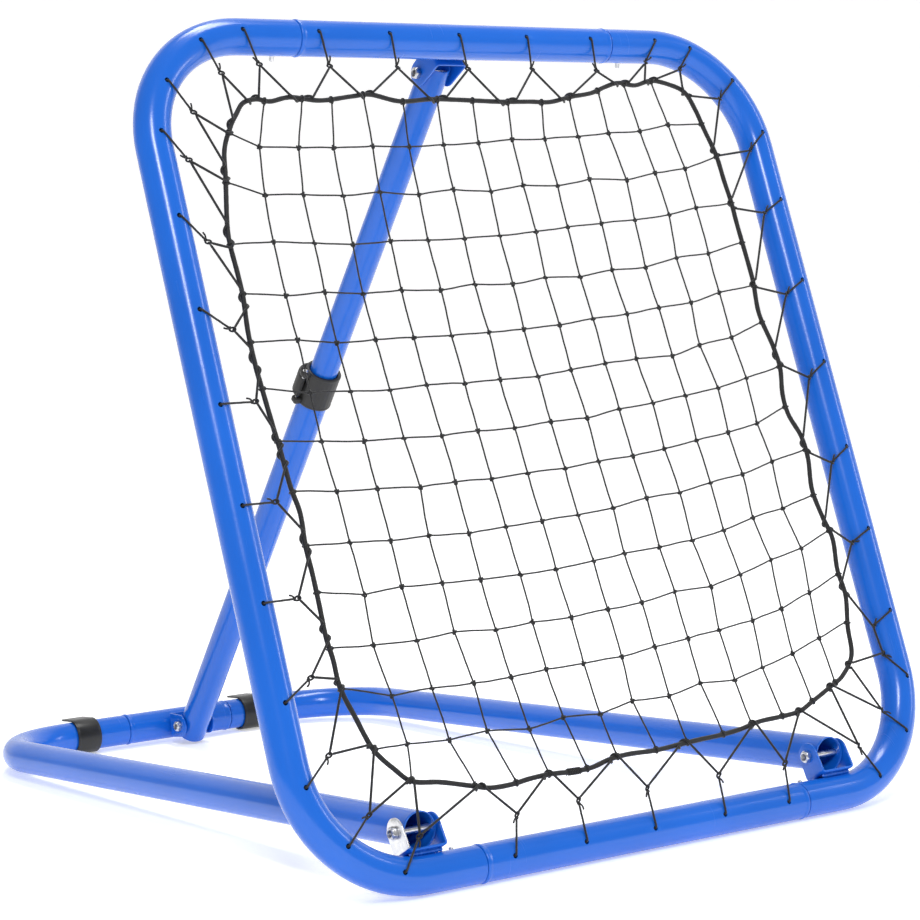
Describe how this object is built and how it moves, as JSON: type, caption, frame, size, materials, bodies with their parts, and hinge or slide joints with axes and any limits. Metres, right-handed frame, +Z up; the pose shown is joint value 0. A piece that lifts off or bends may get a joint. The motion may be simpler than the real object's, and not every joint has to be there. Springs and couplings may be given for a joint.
{
  "type": "pitch back rebounder",
  "caption": "Free-standing ball rebounder: a laced net in a rounded blue tube frame that leans back on a floor base, held by a telescopic strut with a clamp.",
  "frame": {"origin": "on the floor, under the middle of the width and of the depth", "axes": "+Z up, the net faces -Y, +X to the right of a viewer who faces the net from the back towards +Y"},
  "size_m": [0.7006, 0.8475, 0.7249],
  "materials": {
    "blue_paint": "glossy powder coat",
    "zinc": "bright zinc plate",
    "black_plastic": "moulded, satin",
    "cord": "braided polyester cord"
  },
  "bodies": {
    "base": {"base_side_left": "blue_paint", "base_side_right": "blue_paint", "base_back_tube": "blue_paint", "floor_clip_left": "black_plastic", "floor_clip_right": "black_plastic", "strut_foot_bracket": "blue_paint", "strut_foot_bolt": "zinc", "strut_foot_nut": "zinc"},
    "frame": {"frame_side_left": "blue_paint", "frame_side_right": "blue_paint", "frame_top_tube": "blue_paint", "frame_bottom_tube": "blue_paint", "frame_pin_tl": "zinc", "frame_pin_tr": "zinc", "frame_pin_bl": "zinc", "frame_pin_br": "zinc", "hinge_bracket_left": "blue_paint", "hinge_bracket_right": "blue_paint", "hinge_bolt_left": "zinc", "hinge_bolt_right": "zinc", "hinge_nut_left": "zinc", "hinge_nut_right": "zinc", "strut_head_bracket": "blue_paint", "strut_head_bolt": "zinc", "strut_head_nut": "zinc", "net_mesh": "cord", "border_rope": "cord", "elastic_lacing": "cord"},
    "strut_lower": {"strut_lower_tube": "blue_paint", "clamp_collar": "black_plastic", "clamp_pin": "zinc"},
    "strut_upper": {"strut_upper_tube": "blue_paint"},
    "lever": {"clamp_lever": "black_plastic"}
  },
  "joints": [
    {"name": "frame_tilt", "type": "hinge", "parent": "base", "child": "frame", "pos_m": [0, -0.38905, 0.05], "axis": [-1, 0, 0], "range_deg": [-9, 14]},
    {"name": "strut_pivot", "type": "hinge", "parent": "base", "child": "strut_lower", "pos_m": [0, 0.36095, 0.021], "axis": [-1, 0, 0], "range_deg": [-3.9, 6.1]},
    {"name": "strut_extend", "type": "slide", "parent": "strut_lower", "child": "strut_upper", "axis": [0, -0.599, 0.8007], "range_m": [-0.146, 0.095]},
    {"name": "clamp_lever_flip", "type": "hinge", "parent": "strut_lower", "child": "lever", "pos_m": [-0.0195, 0.0824, 0.39334], "axis": [0, -0.599, 0.8007], "range_deg": [0, 66]}
  ],
  "couplings": [
    {"joint": "strut_pivot", "follows": "frame_tilt", "ratio": 0.428},
    {"joint": "strut_extend", "follows": "frame_tilt", "m_per_rad": -0.592}
  ]
}
